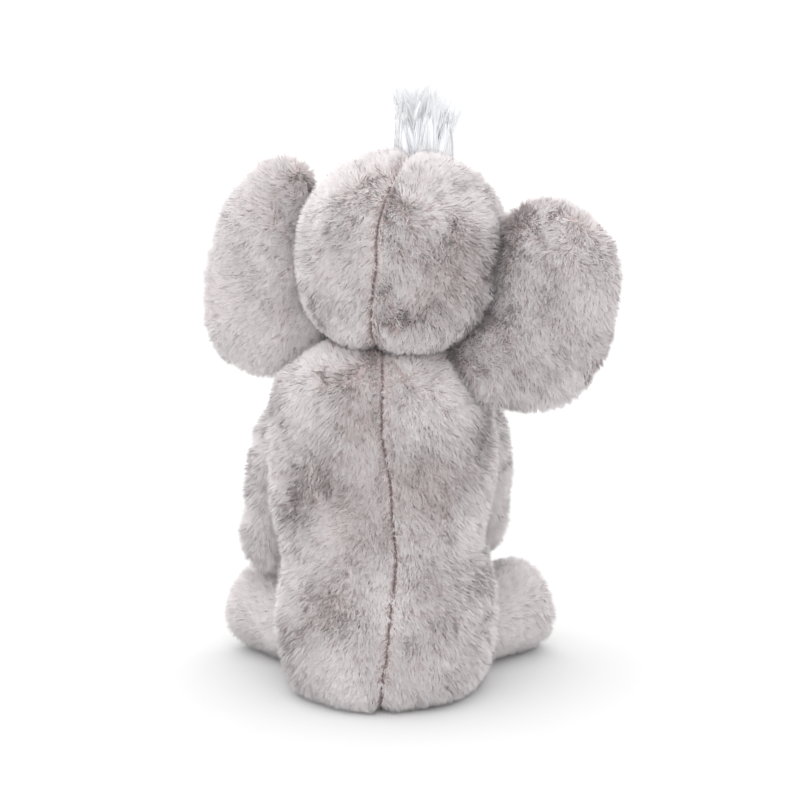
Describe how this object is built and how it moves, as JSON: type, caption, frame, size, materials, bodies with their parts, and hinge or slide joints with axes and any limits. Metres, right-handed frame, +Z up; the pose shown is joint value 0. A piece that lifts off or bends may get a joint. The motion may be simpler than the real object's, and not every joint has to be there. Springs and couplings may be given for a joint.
{
  "type": "stuffed elephant",
  "caption": "Seated plush elephant in long grey pile with wide padded ears, a hanging trunk, short limbs and a white hair tuft; head, trunk, ears and limbs flex at their seams.",
  "frame": {"origin": "centre of the flat seat the toy sits on", "axes": "+Z up, the toy faces -Y, its left side is +X"},
  "size_m": [0.1858, 0.1436, 0.2884],
  "materials": {
    "plush_grey": "matte",
    "ear_lining_pile": "satin",
    "sole_pile": "matte",
    "hair_white": "satin",
    "filling": "matte",
    "pouch_cloth": "matte",
    "pellet_plastic": "satin",
    "eye_black": "gloss",
    "washer_white": "satin"
  },
  "bodies": {
    "torso": {"back_panel_left": "plush_grey", "back_panel_right": "plush_grey", "tummy_panel": "plush_grey", "seat_panel": "plush_grey", "body_stuffing": "filling", "pellet_pouch": "pouch_cloth", "pellets": "pellet_plastic"},
    "neck": {"neck_stuffing": "filling"},
    "head": {"head_panel_left": "plush_grey", "head_panel_right": "plush_grey", "face_panel": "plush_grey", "head_stuffing": "filling", "hair_tuft": "hair_white", "eye_left": "eye_black", "eye_right": "eye_black", "eye_washer_left": "washer_white", "eye_washer_right": "washer_white"},
    "trunk": {"trunk_panel_left": "plush_grey", "trunk_panel_right": "plush_grey", "trunk_stuffing": "filling"},
    "ear_left": {"ear_back_left": "plush_grey", "ear_lining_left": "ear_lining_pile", "ear_padding_left": "filling"},
    "ear_right": {"ear_back_right": "plush_grey", "ear_lining_right": "ear_lining_pile", "ear_padding_right": "filling"},
    "arm_left": {"arm_outer_left": "plush_grey", "arm_inner_left": "plush_grey", "arm_stuffing_left": "filling"},
    "arm_right": {"arm_outer_right": "plush_grey", "arm_inner_right": "plush_grey", "arm_stuffing_right": "filling"},
    "leg_left": {"leg_skin_left": "plush_grey", "sole_left": "sole_pile", "leg_stuffing_left": "filling"},
    "leg_right": {"leg_skin_right": "plush_grey", "sole_right": "sole_pile", "leg_stuffing_right": "filling"}
  },
  "joints": [
    {"name": "head_turn", "type": "hinge", "parent": "torso", "child": "neck", "pos_m": [-0.004, 0, 0.168], "axis": [0, 0, 1], "range_deg": [-20, 40], "stiffness_Nm_per_rad": 0.25},
    {"name": "head_nod", "type": "hinge", "parent": "neck", "child": "head", "pos_m": [-0.004, 0, 0.168], "axis": [-0.9467, 0.309, -0.0911], "range_deg": [-8, 8], "stiffness_Nm_per_rad": 1.2},
    {"name": "trunk_lift", "type": "hinge", "parent": "head", "child": "trunk", "pos_m": [-0.02075, -0.03994, 0.20657], "axis": [-0.9467, 0.309, -0.0911], "range_deg": [0, 25], "stiffness_Nm_per_rad": 0.15},
    {"name": "ear_fold_left", "type": "hinge", "parent": "head", "child": "ear_left", "pos_m": [0.03705, -0.01437, 0.2031], "axis": [0.0489, 0.0229, -0.9985], "range_deg": [-20, 18], "stiffness_Nm_per_rad": 0.1},
    {"name": "ear_fold_right", "type": "hinge", "parent": "head", "child": "ear_right", "pos_m": [-0.05099, 0.01437, 0.19462], "axis": [-0.144, 0.0196, 0.9894], "range_deg": [-20, 18], "stiffness_Nm_per_rad": 0.1},
    {"name": "arm_swing_left", "type": "hinge", "parent": "torso", "child": "arm_left", "pos_m": [0.0475, -0.014, 0.123], "axis": [-1, 0, 0], "range_deg": [0, 45], "stiffness_Nm_per_rad": 0.15},
    {"name": "arm_swing_right", "type": "hinge", "parent": "torso", "child": "arm_right", "pos_m": [-0.0435, -0.024, 0.123], "axis": [-1, 0, 0], "range_deg": [0, 45], "stiffness_Nm_per_rad": 0.15},
    {"name": "leg_splay_left", "type": "hinge", "parent": "torso", "child": "leg_left", "pos_m": [0.041, -0.034, 0.0202], "axis": [0, 0, 1], "range_deg": [-12, 12], "stiffness_Nm_per_rad": 0.3},
    {"name": "leg_splay_right", "type": "hinge", "parent": "torso", "child": "leg_right", "pos_m": [-0.0435, -0.035, 0.0202], "axis": [0, 0, -1], "range_deg": [-12, 12], "stiffness_Nm_per_rad": 0.3}
  ]
}
